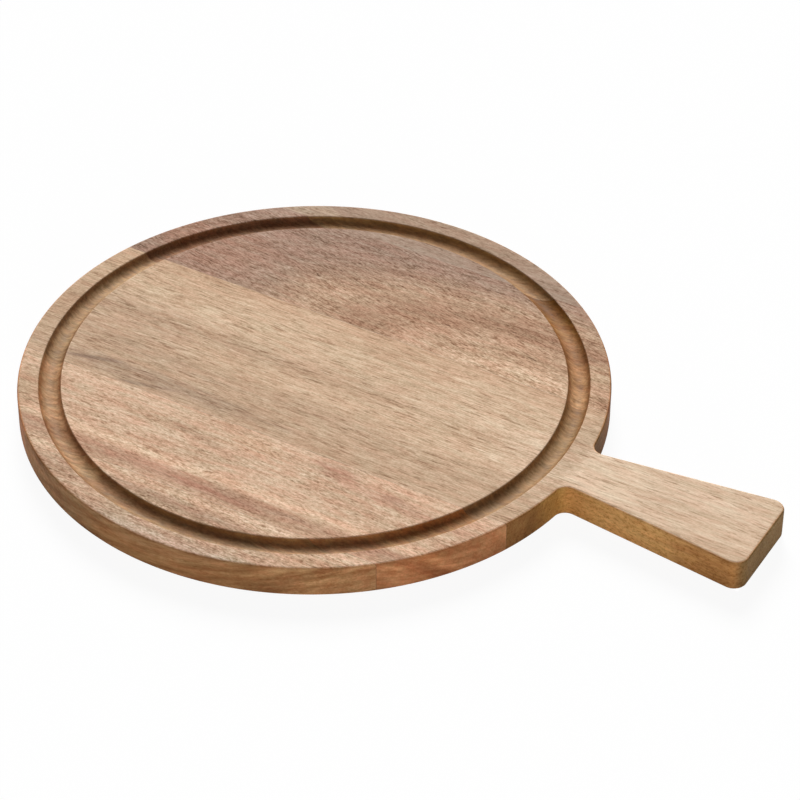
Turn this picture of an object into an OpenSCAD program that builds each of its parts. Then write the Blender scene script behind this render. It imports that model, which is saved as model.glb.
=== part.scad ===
// Round pizza serving board with a flared handle and a juice groove.
// It is a panel of hardwood staves, edge-glued with plain butt joints, then cut to its outline,
// grooved and eased along every edge. The staves and the handle run along X, the board lies on
// Z = 0, and the origin is the centre of the round part on the underside.

/* [Board] */
// Diameter of the round part
board_d = 300; // [260:1:400]
// Thickness of the glued-up panel
board_t = 17; // [12:0.5:30]
// Radius of the eased edge, top and bottom
edge_r = 1.5; // [0.5:0.1:3]

/* [Handle] */
// Length of the handle beyond the round part
handle_l = 100; // [60:1:180]
// Width of the handle at the edge of the round part
handle_root_w = 30; // [24:0.5:50]
// Width of the handle at its free end
handle_end_w = 55; // [36:0.5:80]
// Radius of the two corners at the free end
handle_corner_r = 7; // [4:0.5:15]
// Radius of the two fillets between the handle and the round part
neck_r = 6; // [3:0.5:15]

/* [Juice groove] */
// Width of the flat rim outside the groove
rim_w = 10.5; // [8:0.5:20]
// Width of the groove between its edges
groove_w = 11.5; // [8:0.5:16]
// Depth of the groove
groove_depth = 4; // [2:0.25:5]

/* [Staves] */
// Width of the handle stave behind the centre line of the handle
handle_stave_back_w = 45; // [36:0.5:60]
// Width of the handle stave in front of the centre line of the handle
handle_stave_front_w = 55; // [40:0.5:64]
// Width of the inner stave behind the handle stave
back_inner_w = 72.5; // [40:0.5:80]
// Width of the inner stave in front of the handle stave
front_inner_w = 56.5; // [35:0.5:70]
// Thickness of the cured glue in each joint
glue_t = 0.15; // [0.1:0.05:0.3]

/* [Hidden] */
$fn = 192;

// How far a cut runs past the wood, what the saw leaves outside the line, and how far each
// rounded cut bites past the face that it blends into
overrun = 1;
saw_allowance = 0.5;
blend = 0.05;

// The joint planes, as distances along Y from the handle's centre line
board_r = board_d / 2;
back_inner_joint = handle_stave_back_w;
back_outer_joint = back_inner_joint + back_inner_w;
front_inner_joint = -handle_stave_front_w;
front_outer_joint = front_inner_joint - front_inner_w;
panel_edge = board_r + overrun;

// The back side of the handle: its flare, its direction and its outward normal
handle_end_x = board_r + handle_l;
flare = atan((handle_end_w - handle_root_w) / 2 / handle_l);
side_along = [cos(flare), sin(flare)];
side_out = [-sin(flare), cos(flare)];
side_root = [board_r, handle_root_w / 2];

// The back fillet of the neck: its centre, its bearing from the origin, and where it meets the side
neck_reach = neck_r - blend;
neck_line = side_root + neck_reach * side_out;
neck_run = sqrt(pow(neck_line * side_along, 2) - neck_line * neck_line + pow(board_r + neck_reach, 2));
neck_centre = neck_line + (neck_run - neck_line * side_along) * side_along;
neck_angle = atan2(neck_centre.y, neck_centre.x);
neck_on_side = neck_centre - neck_reach * side_out;

// The root of the handle, inside the rim
root_r = board_r - rim_w / 2;

// The back corner of the free end: its centre, and the sharp corner of the sawn blank
corner_reach = handle_corner_r - blend;
corner_x = handle_end_x - corner_reach;
corner_centre = [
    corner_x,
    side_root.y + (corner_x - board_r) * tan(flare) - corner_reach / cos(flare)
];
sawn_end_x = handle_end_x + saw_allowance;
sawn_corner = [
    sawn_end_x,
    side_root.y + (sawn_end_x - board_r) * tan(flare) + saw_allowance / cos(flare)
];

// The groove: the circle that its round-nosed cutter draws
groove_mid_r = board_r - rim_w - groove_w / 2;
cutter_r = (pow(groove_depth, 2) + pow(groove_w / 2, 2)) / (2 * groove_depth);
cutter_z = board_t - groove_depth + cutter_r;

// The section of the panel from the origin out to an edge that is eased at the top and bottom
module eased_section(length) {
    square([length - edge_r, board_t]);
    translate([0, edge_r]) square([length, board_t - 2 * edge_r]);
    for (z = [edge_r, board_t - edge_r]) translate([length - edge_r, z]) circle(edge_r);
}

// The round part, with its eased rim and its juice groove
module round_part() {
    rotate_extrude() difference() {
        eased_section(board_r);
        translate([groove_mid_r, cutter_z]) circle(cutter_r);
    }
}

// The section that is cut away outside an edge at the origin, with the wood towards -X: it leaves
// an upright edge that is eased at the top and bottom
module edge_cut_section(reach) {
    difference() {
        translate([-edge_r, -overrun]) square([edge_r + reach, board_t + 2 * overrun]);
        translate([-2 * edge_r, edge_r]) square([2 * edge_r, board_t - 2 * edge_r]);
        for (z = [edge_r, board_t - edge_r]) translate([-edge_r, z]) circle(edge_r);
    }
}

// The handle as it is sawn, a little outside its finished outline, from inside the rim outwards
module sawn_handle() {
    back = [
        sawn_corner, neck_on_side + saw_allowance * side_out, neck_centre,
        root_r * [cos(neck_angle), sin(neck_angle)]
    ];
    front = [for (i = [len(back) - 1:-1:0]) [back[i].x, -back[i].y]];
    linear_extrude(board_t) polygon(concat(front, back));
}

// The cut along the back side of the handle
module side_cut() {
    translate(neck_on_side) rotate([0, 0, flare]) rotate([90, 0, 90])
        linear_extrude(norm(sawn_corner - neck_on_side) + overrun) edge_cut_section(overrun);
}

// The cut across the free end of the handle
module end_cut() {
    translate([handle_end_x, sawn_corner.y + overrun, 0]) rotate([90, 0, 0])
        linear_extrude(2 * (sawn_corner.y + overrun)) edge_cut_section(overrun);
}

// The cut round the back corner of the free end
module corner_cut() {
    translate(corner_centre) rotate_extrude(start = 0, angle = 90 + flare)
        translate([handle_corner_r, 0]) edge_cut_section(handle_corner_r + overrun);
}

// The cut that leaves the back fillet of the neck
module neck_cut() {
    translate(neck_centre) rotate_extrude()
        translate([neck_r, 0]) mirror([1, 0]) edge_cut_section(neck_r);
}

// The handle with its straight edges eased
module squared_handle() {
    difference() {
        sawn_handle();
        end_cut();
        side_cut();
        mirror([0, 1, 0]) side_cut();
    }
}

// The handle with its corners rounded
module cornered_handle() {
    difference() {
        squared_handle();
        corner_cut();
        mirror([0, 1, 0]) corner_cut();
    }
}

// The finished handle, with the fillets of its neck
module handle() {
    difference() {
        cornered_handle();
        neck_cut();
        mirror([0, 1, 0]) neck_cut();
    }
}

// One slice of the round part between two planes across Y
module round_slice(front_y, back_y) {
    intersection() {
        round_part();
        translate([-panel_edge, front_y, -overrun])
            cube([2 * panel_edge, back_y - front_y, board_t + 2 * overrun]);
    }
}

// A stave between two joints, less the glue that it meets
module stave(front_y, back_y) {
    round_slice(front_y + glue_t / 2, back_y - glue_t / 2);
}

// The glue of one joint
module glue_line(joint_y) {
    round_slice(joint_y - glue_t / 2, joint_y + glue_t / 2);
}

module back_outer_stave() {
    color("#b99a7a") stave(back_outer_joint, panel_edge);
}

module back_inner_stave() {
    color("#a5815f") stave(back_inner_joint, back_outer_joint);
}

module handle_stave() {
    color("#c6a582") {
        stave(front_inner_joint, back_inner_joint);
        handle();
    }
}

module front_inner_stave() {
    color("#c39d7b") stave(front_outer_joint, front_inner_joint);
}

module front_outer_stave() {
    color("#bd9b7b") stave(-panel_edge, front_outer_joint);
}

module back_outer_glue_line() {
    color("#8a6a45") glue_line(back_outer_joint);
}

module back_inner_glue_line() {
    color("#8a6a45") glue_line(back_inner_joint);
}

module front_inner_glue_line() {
    color("#8a6a45") glue_line(front_inner_joint);
}

module front_outer_glue_line() {
    color("#8a6a45") glue_line(front_outer_joint);
}

back_outer_stave();
back_inner_stave();
handle_stave();
front_inner_stave();
front_outer_stave();
back_outer_glue_line();
back_inner_glue_line();
front_inner_glue_line();
front_outer_glue_line();
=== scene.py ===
"""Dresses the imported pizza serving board.

The glued panel is modelled whole, with its handle, eased edges and juice groove, then sawn at its
joints into staves and glue lines, and each stave gets its own oiled wood."""
import math
from typing import NamedTuple

import bmesh
import bpy
from bpy.props import FloatProperty, FloatVectorProperty, IntProperty, PointerProperty
from mathutils import Matrix, Vector


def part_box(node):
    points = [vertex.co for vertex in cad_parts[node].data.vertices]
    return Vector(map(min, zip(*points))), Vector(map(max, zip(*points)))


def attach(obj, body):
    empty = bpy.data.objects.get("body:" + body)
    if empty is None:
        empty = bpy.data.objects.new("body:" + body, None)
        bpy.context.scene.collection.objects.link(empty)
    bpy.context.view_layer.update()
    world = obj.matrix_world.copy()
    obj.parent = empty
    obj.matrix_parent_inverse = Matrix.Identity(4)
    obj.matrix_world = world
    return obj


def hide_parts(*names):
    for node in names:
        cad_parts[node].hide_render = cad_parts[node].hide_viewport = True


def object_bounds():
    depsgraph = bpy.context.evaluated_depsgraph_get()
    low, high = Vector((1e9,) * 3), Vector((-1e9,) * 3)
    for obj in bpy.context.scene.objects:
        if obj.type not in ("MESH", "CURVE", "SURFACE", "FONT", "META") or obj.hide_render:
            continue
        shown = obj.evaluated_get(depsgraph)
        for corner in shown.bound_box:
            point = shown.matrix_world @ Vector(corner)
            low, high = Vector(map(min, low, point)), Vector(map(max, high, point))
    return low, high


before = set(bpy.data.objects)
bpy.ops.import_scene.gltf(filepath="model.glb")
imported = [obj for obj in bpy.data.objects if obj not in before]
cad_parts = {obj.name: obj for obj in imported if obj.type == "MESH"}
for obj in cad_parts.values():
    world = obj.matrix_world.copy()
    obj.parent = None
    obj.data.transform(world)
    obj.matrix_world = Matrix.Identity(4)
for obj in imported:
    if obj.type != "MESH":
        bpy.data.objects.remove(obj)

bl_info = {
    "name": "Pizza serving board",
    "version": (1, 0, 0),
    "blender": (4, 5, 0),
    "location": "3D View > Sidebar > Board",
    "description": "Models a glued-up round serving board with a handle and gives it oiled wood",
    "category": "Add Mesh",
}

CAD_LOW, CAD_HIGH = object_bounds()
BODY = "root"
PANEL_NAME = "glued_panel"
MILLIMETRES = 1000.0

PLAIN_STAVES = ("back_outer_stave", "back_inner_stave", "front_inner_stave", "front_outer_stave")
GLUE_LINES = (
    "back_outer_glue_line", "back_inner_glue_line", "front_inner_glue_line", "front_outer_glue_line",
)

# Distances in metres: between points that are merged, between points that a test takes for one, and
# from the rim to the nearest plane that the saw follows
SAME_PLACE = 1e-6
CLOSE_BY = 1e-5
RIM_SPARE = 0.0005

# Edges along a neck fillet, a corner of the handle, a lip of the groove and the floor of the groove
NECK_STEPS = 10
CORNER_STEPS = 14
LIP_STEPS = 4
NOSE_STEPS = 20

# How squarely the top face looks up, the angle below which an edge is shaded smooth, and how much
# large faces count in that shading
LOOKING_UP = 0.999
SMOOTH_BELOW = math.radians(40.0)
LARGE_FACE_WEIGHT = 90

# The floor's side and its drop below the board in metres, its cuts, the share of it that shines white,
# and how far inside the board's outline it is open, in edge radii
FLOOR_SIDE = 12.0
FLOOR_DROP = 0.0002
FLOOR_CUTS = 3
FLOOR_SHINE = 0.93
FLOOR_PAINT = (0.98, 0.98, 0.98)
FLOOR_INSET = 1.1
WHITE = (1.0, 1.0, 1.0)

# The bump of the grain, its height in metres, and the shine and roughness of the oil and the glue
GRAIN_STRENGTH = 0.4
GRAIN_HEIGHT = 0.00012
OIL_SHINE = 0.06
OIL_ROUGHNESS = 0.62
GLUE_SHINE = 0.2
GLUE_ROUGHNESS = 0.5

# Masks of the cut faces, and what they fade over: how level a face is, how far it looks along the
# grain, how deep it lies in millimetres, where the painted shade of the groove's walls darkens with
# depth, and how far the groove reaches as a share of its width
CUT_MASKS = ("Edge", "End", "Groove", "Wall", "Fuzz")
EDGE_LEVELS = (0.62, 0.985)
WALL_LEVELS = (0.48, 0.97)
END_FACING = (0.25, 0.95)
GROOVE_DEPTHS = (0.05, 0.60)
WALL_SHADE_DEPTHS = (0.3, 2.6)
GROOVE_REACH = 0.6

# The part of a noise that is drawn out from dark to light, and where a mark fades, in half sizes
RING_TONES = (0.25, 0.75)
CLOUD_TONES = (0.28, 0.72)
NOISE_TONES = (0.30, 0.70)
STREAK_TONES = (0.35, 0.65)
PORE_TONES = (0.52, 0.66)
FLECK_TONES = (0.44, 0.70)
MARK_FADE = (0.40, 1.40)

# The fine lines to a growth ring, the level that rings and fibres never go below, the powers of it that
# red and blue follow, how much of the grain a sawn face loses, the most zones that are eased one by one,
# and where along the board, in radii, the grip's fibres begin
LINES_PER_RING = 5.3
DARKEST_LEVEL = 0.15
RED_POWER = 0.80
BLUE_POWER = 1.24
SAWN_LOSS = 0.65
MOST_EASED_ZONES = 6
GRIP_FADE = (0.9, 1.1)

# What the colour of the wood is multiplied by: the two sides of its slow blush, the bands and flecks
# of its sides, and the painted highlight on its eased edges
COOL_BLUSH = (1.0, 1.06, 1.07)
WARM_BLUSH = (0.985, 0.88, 0.86)
DARK_BAND = (0.66, 0.57, 0.49)
PALE_BAND = (1.24, 1.27, 1.30)
FLECK_TINT = (0.54, 0.40, 0.26)
PAINTED_EDGE_HIGHLIGHT = (1.25, 1.14, 1.06)


class Pattern(NamedTuple):
    """A noise in the wood: its turns to a millimetre along X, Y and Z, or to a dash of the stave's pores,
    what it adds to the seed of the stave, its finer layers and how strong they are."""

    scale: tuple
    seed: float
    detail: float
    roughness: float = 0.5


FIBRES = Pattern((1.35, 1.35, 1.35), 0.0, 2.5, 0.7)
PORE_DASHES = Pattern((1.0, 1.0, 1.0), 31.0, 2.0, 0.65)
CLOUDS = Pattern((0.016, 0.11, 0.11), 0.0, 3.0, 0.6)
STREAKS = Pattern((0.020, 0.34, 0.34), 0.0, 2.0, 0.6)
MOTTLE = Pattern((0.75, 1.2, 1.2), 13.0, 1.0, 0.6)
SPECKS = Pattern((0.42, 0.75, 0.75), 43.0, 3.0, 0.75)
PORE_CROWD = Pattern((0.03, 0.12, 0.12), 57.0, 2.0)
SIDE_BANDS = Pattern((0.030, 0.030, 0.26), 71.0, 2.0, 0.6)
SLOW_BLUSH = Pattern((0.06, 0.30, 0.30), 83.0, 2.0)
TORN_FIBRES = Pattern((0.13, 0.50, 0.50), 91.0, 3.0, 0.65)
CUTTER_FUZZ = Pattern((0.8, 1.0, 0.45), 4.0, 2.0, 0.65)
MARK_OUTLINE = Pattern((0.055, 0.42, 0.42), 5.0, 2.0, 0.6)
MARK_STREAKS = Pattern((0.035, 0.85, 0.85), 9.0, 1.0)
GLUE_SMEAR = Pattern((0.12, 0.5, 0.5), 2.0, 2.0)


class Mark(NamedTuple):
    """A stain, streak or pale patch in a stave, and on a cut face often painted light and shade: its
    place and half sizes in millimetres, its turn in degrees, how ragged its outline is, its colour and
    how strongly it covers the wood."""

    x: float
    y: float
    half_length: float
    half_width: float
    turn: float
    ragged: float
    colour: tuple
    strength: float


class Figure(NamedTuple):
    """The wood of a stave. Its zones are colours across the growth rings, each at a place along Y on
    the top face abreast of the heart. Lengths are in millimetres, slants in degrees and colours are
    display colours. A tint is what the wood's red, green and blue are multiplied by on the sides, the
    ends of the fibres and the groove, and the marks of a cut face give its tint here and there. The
    marks of the sides and ends are partly the wood's colour and partly painted light and shade:
    lighter where the sides face the front and right, darker where they face left and back. The
    groove's tint and marks hold painted shade where shadow falls in the groove and painted light where
    its shadow is lifted, and the marks of its walls set how dark their painted shade is. A stave with
    a grip has its own fibre contrast there."""

    zones: tuple
    heart: tuple
    stretch: float
    ring_width: float
    ring_contrast: float
    sway: float
    sway_length: float
    sway_width: float
    slant: float
    dash_length: float
    dash_width: float
    fibre_contrast: float
    pore_depth: float
    side_slant: float
    edge_tint: tuple
    end_tint: tuple
    # The groove's tint is partly the colour of the cut and partly painted light and shade
    groove_tint: tuple
    seed: float
    blush: float
    marks: tuple
    # The marks of the sides and ends are partly the wood's colour and partly painted light and shade
    side_colour_and_light_marks: tuple = ()
    end_colour_and_light_marks: tuple = ()
    # The groove's marks paint shade where shadow falls in the groove and light where it is lifted
    groove_shade_and_light_marks: tuple = ()
    # The marks of the groove's walls set how dark their painted shade is here and there
    wall_shade_marks: tuple = ()
    side_bands: float = 0.8
    side_flecks: float = 0.1
    grip_contrast: float | None = None


# In the figures below, the side and end marks paint light and shade in part, and the groove's tints and
# marks and its walls' marks paint light and shade in the groove
FIGURES = {
    "handle_stave": Figure(
        zones=(
            (45, (0.830, 0.692, 0.576)), (18, (0.852, 0.735, 0.622)), (0, (0.808, 0.685, 0.575)),
            (-12, (0.835, 0.710, 0.597)), (-30, (0.800, 0.678, 0.570)), (-55, (0.800, 0.676, 0.567)),
        ),
        heart=(0.0, 190.0, -90.0), stretch=400.0, ring_width=9.0, ring_contrast=0.26,
        sway=1.8, sway_length=50.0, sway_width=30.0, slant=-1.0,
        dash_length=10.0, dash_width=0.95, fibre_contrast=0.60, grip_contrast=0.33, pore_depth=0.70,
        side_slant=3.0, side_bands=0.2, side_flecks=0.80,
        edge_tint=(0.88, 0.57, 0.23), end_tint=(0.48, 0.33, 0.16), seed=3.0, blush=0.55,
        groove_tint=(0.74, 0.68, 0.56),
        marks=(
            Mark(-70, -46, 74, 6.5, 0, 0.7, (0.660, 0.550, 0.462), 0.75),
            Mark(-105, -12, 46, 22, 0, 0.8, (0.735, 0.612, 0.512), 0.60),
            Mark(-72, -30, 40, 5, 0, 0.9, (0.720, 0.600, 0.500), 0.50),
            Mark(-104, -45, 17, 1.5, 15, 0.5, (0.56, 0.46, 0.385), 0.75),
            Mark(-69, -51, 16, 1.4, 11, 0.5, (0.56, 0.46, 0.385), 0.75),
            Mark(-28, -1, 34, 5, -1, 0.9, (0.750, 0.625, 0.520), 0.50),
            Mark(14, -28, 32, 5, 0, 0.9, (0.745, 0.625, 0.520), 0.45),
            Mark(88, 0, 48, 30, 0, 0.8, (0.880, 0.763, 0.652), 0.70),
            Mark(52, 31, 24, 7, 0, 0.8, (0.865, 0.730, 0.618), 0.60),
            Mark(200, 0, 82, 40, 0, 0.4, (0.900, 0.793, 0.695), 0.85),
            Mark(164, 0, 22, 20, 0, 0.3, (0.945, 0.845, 0.745), 0.60),
            Mark(-144, 5, 10, 44, 0, 0.4, (0.745, 0.612, 0.500), 0.55),
            Mark(143, 14, 8, 28, 0, 0.4, (0.765, 0.640, 0.532), 0.65),
        ),
        side_colour_and_light_marks=(
            Mark(205, -30, 70, 26, 0, 0.2, (1.17, 0.90, 0.48), 1.0),
            Mark(205, 30, 70, 26, 0, 0.2, (0.78, 0.60, 0.40), 1.0),
            Mark(238, -24, 32, 10, 0, 0.8, (0.74, 0.475, 0.235), 0.9),
        ),
        end_colour_and_light_marks=(
            Mark(240, 0, 40, 60, 0, 0.0, (0.40, 0.335, 0.195), 1.0),
            Mark(141, -51, 7, 9, 0, 0.0, (0.56, 0.40, 0.21), 0.9),
            Mark(158, 24, 20, 16, 0, 0.0, (0.36, 0.30, 0.20), 1.0),
            Mark(158, -23, 20, 16, 0, 0.0, (0.80, 0.60, 0.25), 1.0),
        ),
        groove_shade_and_light_marks=(
            Mark(134, 0, 44, 64, 0, 0.0, (0.565, 0.485, 0.36), 1.0),
        ),
        wall_shade_marks=(
            Mark(134, 0, 44, 64, 0, 0.0, (0.33, 0.19, 0.06), 1.0),
        ),
    ),
    "back_inner_stave": Figure(
        zones=(
            (45, (0.872, 0.742, 0.627)), (57, (0.840, 0.705, 0.590)), (65, (0.795, 0.655, 0.542)),
            (75, (0.750, 0.600, 0.490)), (82, (0.705, 0.553, 0.443)), (88, (0.668, 0.518, 0.412)),
            (96, (0.758, 0.621, 0.511)), (102, (0.740, 0.604, 0.500)), (110, (0.690, 0.560, 0.470)),
            (120, (0.650, 0.522, 0.448)), (138, (0.655, 0.530, 0.458)),
        ),
        heart=(90.0, 45.0, 17.0), stretch=2.33, ring_width=8.0, ring_contrast=0.48,
        sway=2.6, sway_length=40.0, sway_width=30.0, slant=-11.0,
        dash_length=5.6, dash_width=1.08, fibre_contrast=0.95, pore_depth=0.72, side_slant=-8.0,
        edge_tint=(0.74, 0.54, 0.36), end_tint=(0.60, 0.44, 0.32), seed=11.0, blush=0.8,
        groove_tint=(0.84, 0.71, 0.53),
        marks=(
            Mark(-100, 68, 32, 24, 0, 0.6, (0.672, 0.505, 0.413), 0.65),
            Mark(-65, 60, 15, 7, 18, 0.9, (0.66, 0.55, 0.475), 0.45),
            Mark(119, 81, 16, 2.8, 0, 0.5, (0.60, 0.455, 0.365), 0.45),
            Mark(-30, 65, 22, 8, 0, 0.7, (0.790, 0.650, 0.540), 0.45),
            Mark(-50, 95, 22, 6, 8, 0.9, (0.66, 0.525, 0.445), 0.50),
            Mark(0, 111, 70, 6, 0, 0.7, (0.665, 0.550, 0.482), 0.45),
            Mark(125, 72, 12, 10, 0, 0.4, (0.815, 0.690, 0.570), 0.55),
            Mark(-125, 74, 12, 14, 0, 0.5, (0.660, 0.490, 0.400), 0.70),
        ),
        groove_shade_and_light_marks=(
            Mark(67, 116, 40, 30, 0, 0.0, (0.66, 0.50, 0.28), 1.0),
            Mark(-67, 116, 36, 26, 0, 0.0, (0.88, 0.70, 0.50), 1.0),
        ),
        wall_shade_marks=(
            Mark(67, 116, 60, 50, 0, 0.0, (0.50, 0.33, 0.06), 1.0),
            Mark(-67, 116, 60, 50, 0, 0.0, (0.34, 0.20, 0.11), 1.0),
        ),
    ),
    "back_outer_stave": Figure(
        zones=((117, (0.668, 0.566, 0.496)), (150, (0.695, 0.580, 0.492))),
        heart=(0.0, 260.0, -40.0), stretch=300.0, ring_width=7.0, ring_contrast=0.30,
        sway=1.6, sway_length=60.0, sway_width=26.0, slant=-3.0,
        dash_length=5.5, dash_width=1.3, fibre_contrast=0.48, pore_depth=0.66, side_slant=6.0,
        edge_tint=(0.80, 0.60, 0.40), end_tint=(0.62, 0.50, 0.36), seed=19.0, blush=0.6,
        # A groove tint above one is painted light that lifts the shadow in the groove at the back
        groove_tint=(1.08, 0.92, 0.64),
        marks=(
            Mark(-75, 124, 22, 8, 0, 0.7, (0.76, 0.66, 0.57), 0.90),
        ),
        wall_shade_marks=(
            Mark(0, 132, 90, 40, 0, 0.0, (0.42, 0.28, 0.06), 1.0),
        ),
    ),
    "front_inner_stave": Figure(
        zones=(
            (-55, (0.840, 0.705, 0.595)), (-76, (0.852, 0.722, 0.615)), (-91, (0.850, 0.712, 0.605)),
            (-94, (0.900, 0.760, 0.645)), (-98, (0.880, 0.738, 0.625)), (-101.5, (0.745, 0.592, 0.492)),
            (-106, (0.725, 0.565, 0.468)), (-110, (0.825, 0.685, 0.577)),
        ),
        heart=(0.0, -190.0, -95.0), stretch=300.0, ring_width=8.0, ring_contrast=0.34,
        sway=1.8, sway_length=44.0, sway_width=26.0, slant=-5.0,
        dash_length=4.4, dash_width=1.1, fibre_contrast=0.68, pore_depth=0.62, side_slant=-13.0,
        edge_tint=(0.95, 0.66, 0.43), end_tint=(0.80, 0.55, 0.37), seed=27.0, blush=1.0,
        groove_tint=(0.76, 0.68, 0.55),
        marks=(
            Mark(100, -60, 50, 6, -3, 0.5, (0.885, 0.730, 0.620), 0.70),
            Mark(50, -62, 14, 6.5, -12, 0.7, (0.735, 0.560, 0.465), 0.85),
            Mark(84, -67, 6, 2.2, 0, 0.4, (0.64, 0.46, 0.39), 0.70),
            Mark(47, -103, 12, 2.2, 2, 0.6, (0.67, 0.53, 0.465), 0.60),
            Mark(90, -69, 42, 4.2, -4, 0.7, (0.765, 0.595, 0.495), 0.70),
            Mark(4, -64, 16, 7, 0, 0.8, (0.835, 0.670, 0.545), 0.60),
            Mark(-22, -73, 26, 2.6, -14, 0.9, (0.70, 0.565, 0.460), 0.45),
            Mark(10, -106, 34, 3.0, -1, 0.8, (0.70, 0.515, 0.425), 0.70),
            Mark(-38, -102, 36, 3.2, 2, 0.9, (0.745, 0.545, 0.445), 0.70),
            Mark(58, -104, 26, 6, 0, 0.8, (0.82, 0.68, 0.57), 0.60),
            Mark(-80, -104, 24, 6, 0, 0.8, (0.80, 0.66, 0.55), 0.40),
            Mark(-118, -82, 14, 18, 0, 0.5, (0.760, 0.620, 0.505), 0.80),
        ),
        side_colour_and_light_marks=(
            Mark(112, -99, 14, 16, 0, 0.4, (1.08, 0.78, 0.51), 0.9),
        ),
        end_colour_and_light_marks=(
            Mark(114, -98, 14, 14, 0, 0.3, (1.00, 0.68, 0.45), 0.9),
        ),
        groove_shade_and_light_marks=(
            Mark(116, -67, 40, 40, 0, 0.0, (0.58, 0.45, 0.28), 1.0),
        ),
        wall_shade_marks=(
            Mark(-112, -72, 40, 36, 0, 0.0, (0.46, 0.29, 0.15), 1.0),
            Mark(116, -67, 40, 40, 0, 0.0, (0.50, 0.25, 0.08), 1.0),
            Mark(80, -102, 30, 16, 0, 0.0, (0.56, 0.36, 0.14), 1.0),
        ),
    ),
    "front_outer_stave": Figure(
        zones=(
            (-112, (0.840, 0.705, 0.595)), (-116, (0.850, 0.715, 0.605)), (-123, (0.770, 0.640, 0.540)),
            (-135, (0.800, 0.670, 0.565)), (-150, (0.800, 0.698, 0.615)),
        ),
        heart=(0.0, -60.0, -75.0), stretch=260.0, ring_width=8.0, ring_contrast=0.30,
        sway=2.0, sway_length=44.0, sway_width=22.0, slant=-3.0,
        dash_length=4.6, dash_width=1.2, fibre_contrast=0.90, pore_depth=0.70, side_slant=11.0,
        edge_tint=(0.73, 0.545, 0.345), end_tint=(0.62, 0.47, 0.32), seed=35.0, blush=1.0,
        groove_tint=(0.71, 0.64, 0.50),
        marks=(
            Mark(0, -121, 44, 3.6, 0, 0.9, (0.690, 0.560, 0.462), 0.75),
            Mark(72, -125, 26, 8, 0, 0.8, (0.865, 0.718, 0.600), 0.65),
            Mark(44, -115, 24, 4, 0, 0.6, (0.880, 0.750, 0.645), 0.55),
            Mark(-72, -127, 20, 10, 0, 0.6, (0.735, 0.600, 0.497), 0.55),
        ),
        side_colour_and_light_marks=(
            Mark(88, -125, 30, 34, 0, 0.5, (0.94, 0.75, 0.51), 0.9),
            Mark(-66, -134, 32, 34, 0, 0.5, (0.66, 0.57, 0.42), 0.9),
        ),
        end_colour_and_light_marks=(
            Mark(98, -116, 16, 12, 0, 0.3, (0.70, 0.52, 0.355), 0.9),
        ),
        wall_shade_marks=(
            Mark(-70, -112, 36, 30, 0, 0.0, (0.38, 0.22, 0.09), 1.0),
            Mark(0, -130, 44, 20, 0, 0.6, (0.30, 0.17, 0.01), 0.8),
            Mark(52, -122, 26, 16, 0, 0.0, (0.44, 0.28, 0.08), 1.0),
        ),
    ),
}


class BoardSizes(bpy.types.PropertyGroup):
    """The sizes of the board, in the frame of the CAD part."""

    board_radius: FloatProperty(
        name="Board Radius", description="Radius of the round part", default=-CAD_LOW.x, unit="LENGTH",
    )
    thickness: FloatProperty(
        name="Thickness", description="Thickness of the glued panel", default=CAD_HIGH.z, unit="LENGTH",
    )
    edge_radius: FloatProperty(
        name="Edge Radius", description="Radius of the eased edges, top and bottom", default=0.0015,
        unit="LENGTH",
    )
    handle_end: FloatProperty(
        name="Handle End", description="Where the free end of the handle is along X", default=CAD_HIGH.x,
        unit="LENGTH",
    )
    handle_root_width: FloatProperty(
        name="Handle Root Width", description="Width of the handle at the edge of the round part",
        default=0.030, unit="LENGTH",
    )
    handle_end_width: FloatProperty(
        name="Handle End Width", description="Width of the handle at its free end", default=0.055,
        unit="LENGTH",
    )
    corner_radius: FloatProperty(
        name="Corner Radius", description="Radius of the corners of the free end", default=0.007,
        unit="LENGTH",
    )
    neck_radius: FloatProperty(
        name="Neck Radius", description="Radius of the fillets between the handle and the round part",
        default=0.006, unit="LENGTH",
    )
    rim_width: FloatProperty(
        name="Rim Width", description="Width of the flat rim outside the groove", default=0.0105,
        unit="LENGTH",
    )
    groove_width: FloatProperty(
        name="Groove Width", description="Width of the juice groove", default=0.0115, unit="LENGTH",
    )
    groove_depth: FloatProperty(
        name="Groove Depth", description="Depth of the juice groove", default=0.004, unit="LENGTH",
    )
    lip_radius: FloatProperty(
        name="Lip Radius", description="Radius that sanding leaves on the lips of the groove",
        default=0.0004, unit="LENGTH",
    )
    rim_steps: IntProperty(
        name="Rim Steps", description="Edges round the rim of the round part", default=480,
    )
    groove_steps: IntProperty(
        name="Groove Steps", description="Edges round the juice groove", default=400,
    )
    edge_steps: IntProperty(
        name="Edge Steps", description="Facets across an eased edge", default=6,
    )


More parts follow.
